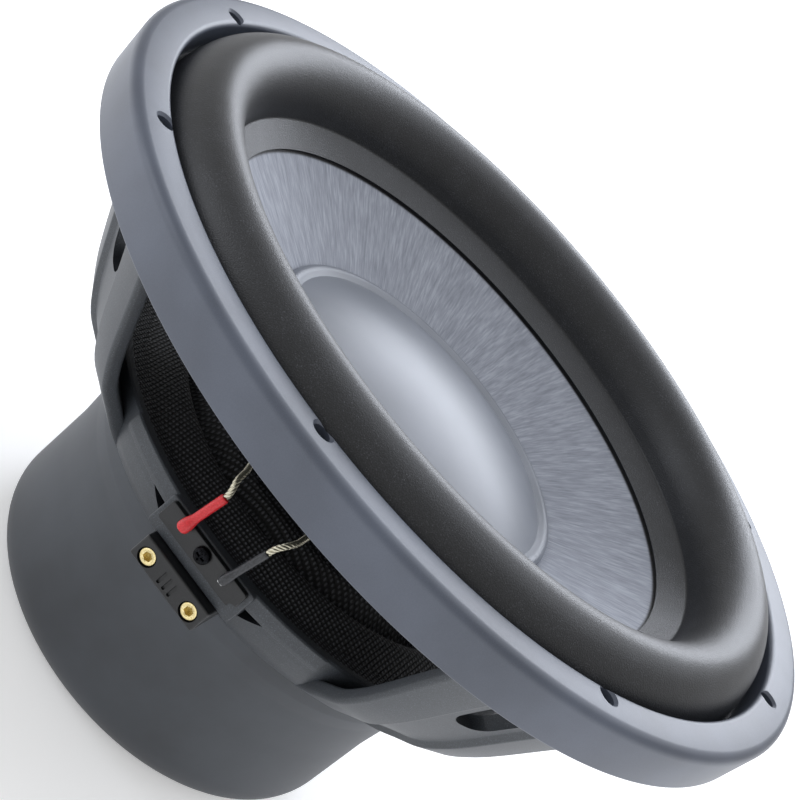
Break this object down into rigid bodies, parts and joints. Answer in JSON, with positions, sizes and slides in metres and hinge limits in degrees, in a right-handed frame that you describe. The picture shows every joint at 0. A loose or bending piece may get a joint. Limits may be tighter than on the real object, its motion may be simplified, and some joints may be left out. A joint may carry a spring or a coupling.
{
  "type": "car subwoofer speaker",
  "caption": "Round car subwoofer driver with a tall half-roll surround, pulp cone, open-arm basket, rubber-covered stacked magnet motor and a side wire terminal.",
  "frame": {"origin": "centre of the motor cover's base, on the surface that the speaker stands on", "axes": "+Z along the speaker's axis towards the open side of the cone, -Y towards the wire terminal"},
  "size_m": [0.32, 0.32, 0.1841],
  "materials": {
    "basket_coat": "fine powder coat",
    "trim_rubber": "satin moulded",
    "surround_foam": "satin, finely speckled",
    "cone_pulp": "pressed pulp with radial fibres",
    "cap_plastic": "matt",
    "former_sheet": "black anodised",
    "coil_copper": "enamelled wire",
    "ferrite": "sintered, matt",
    "plate_steel": "zinc plated",
    "ring_aluminium": "machined",
    "cover_rubber": "smooth, matt",
    "spider_cloth": "resin-set open weave",
    "gauze": "open mesh",
    "screen_wire": "black",
    "black_screw": "black oxide",
    "terminal_plastic": "moulded",
    "plated_brass": "gold flash",
    "tinned_lug": "tinned",
    "sleeve_red": "heat-shrunk",
    "sleeve_dark": "heat-shrunk",
    "tinsel_braid": "silvered braid"
  },
  "bodies": {
    "frame": {"basket": "basket_coat", "trim_ring": "trim_rubber", "spider_ring": "terminal_plastic", "magnet_1": "ferrite", "magnet_2": "ferrite", "top_plate": "plate_steel", "yoke": "plate_steel", "shorting_ring": "ring_aluminium", "motor_cover": "cover_rubber", "vent_screen": "screen_wire", "basket_screw_1": "black_screw", "basket_screw_2": "black_screw", "basket_screw_3": "black_screw", "basket_screw_4": "black_screw", "terminal_plate": "terminal_plastic", "terminal_screw": "black_screw", "terminal_block": "terminal_plastic", "vent_gauze": "gauze", "contact_positive": "plated_brass", "contact_negative": "plated_brass", "lug_positive": "tinned_lug", "lug_negative": "tinned_lug", "sleeve_positive": "sleeve_red", "sleeve_negative": "sleeve_dark"},
    "moving": {"cone": "cone_pulp", "dust_cap": "cap_plastic", "coil_former": "former_sheet", "coil_winding": "coil_copper", "surround": "surround_foam", "spider": "spider_cloth", "lead_eyelet_positive": "tinned_lug", "lead_eyelet_negative": "tinned_lug", "lead_positive": "tinsel_braid", "lead_negative": "tinsel_braid"},
    "jaw_positive": {"clamp_jaw_positive": "plated_brass"},
    "jaw_negative": {"clamp_jaw_negative": "plated_brass"},
    "screw_positive": {"clamp_screw_positive": "plated_brass"},
    "screw_negative": {"clamp_screw_negative": "plated_brass"}
  },
  "joints": [
    {"name": "cone_travel", "type": "slide", "parent": "frame", "child": "moving", "axis": [0, 0, 1], "range_m": [-0.015, 0.015], "stiffness_N_per_m": 5500, "deforming": ["surround", "spider", "lead_positive", "lead_negative"]},
    {"name": "jaw_positive_slide", "type": "slide", "parent": "frame", "child": "jaw_positive", "axis": [0, 1, 0], "range_m": [0, 0.004]},
    {"name": "jaw_negative_slide", "type": "slide", "parent": "frame", "child": "jaw_negative", "axis": [0, 1, 0], "range_m": [0, 0.004]},
    {"name": "screw_positive_turn", "type": "hinge", "parent": "jaw_positive", "child": "screw_positive", "pos_m": [-0.0106, -0.1, 0.0804], "axis": [0, 1, 0], "range_deg": [0, 1800]},
    {"name": "screw_negative_turn", "type": "hinge", "parent": "jaw_negative", "child": "screw_negative", "pos_m": [0.0106, -0.1, 0.0804], "axis": [0, 1, 0], "range_deg": [0, 1800]}
  ],
  "couplings": [
    {"joint": "screw_positive_turn", "follows": "jaw_positive_slide", "rad_per_m": 7854},
    {"joint": "screw_negative_turn", "follows": "jaw_negative_slide", "rad_per_m": 7854}
  ]
}
